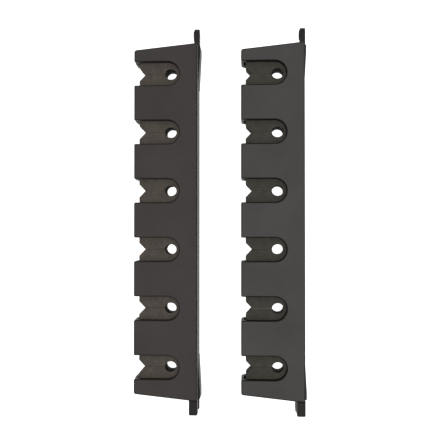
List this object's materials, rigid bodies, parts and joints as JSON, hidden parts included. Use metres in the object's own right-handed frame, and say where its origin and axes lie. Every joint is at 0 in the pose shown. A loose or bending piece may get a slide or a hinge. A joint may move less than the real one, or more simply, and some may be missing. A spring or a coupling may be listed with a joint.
{
  "type": "wall cue rack",
  "caption": "Pair of horizontal wall strips with open U slots and split foam pads that grip upright cues, with an ear and a forked tongue for the wall screws.",
  "frame": {"origin": "bottom centre of the pair as it lies with its undersides on a flat surface", "axes": "+Z is the way the cues stand, +Y points at the wall, +X runs along the racks from the ear to the tongue"},
  "size_m": [0.3894, 0.1724, 0.032],
  "materials": {
    "shell_plastic": "charcoal moulded plastic with a fine grain",
    "foam": "dark closed-cell foam, cut edges",
    "screw_steel": "zinc plated"
  },
  "bodies": {
    "root": {"left_cover": "shell_plastic", "left_base": "shell_plastic", "left_cover_screws": "screw_steel", "left_grip_pad_1": "foam", "left_grip_pad_2": "foam", "left_grip_pad_3": "foam", "left_grip_pad_4": "foam", "left_grip_pad_5": "foam", "left_grip_pad_6": "foam", "right_cover": "shell_plastic", "right_base": "shell_plastic", "right_cover_screws": "screw_steel", "right_grip_pad_1": "foam", "right_grip_pad_2": "foam", "right_grip_pad_3": "foam", "right_grip_pad_4": "foam", "right_grip_pad_5": "foam", "right_grip_pad_6": "foam"}
  },
  "joints": []
}
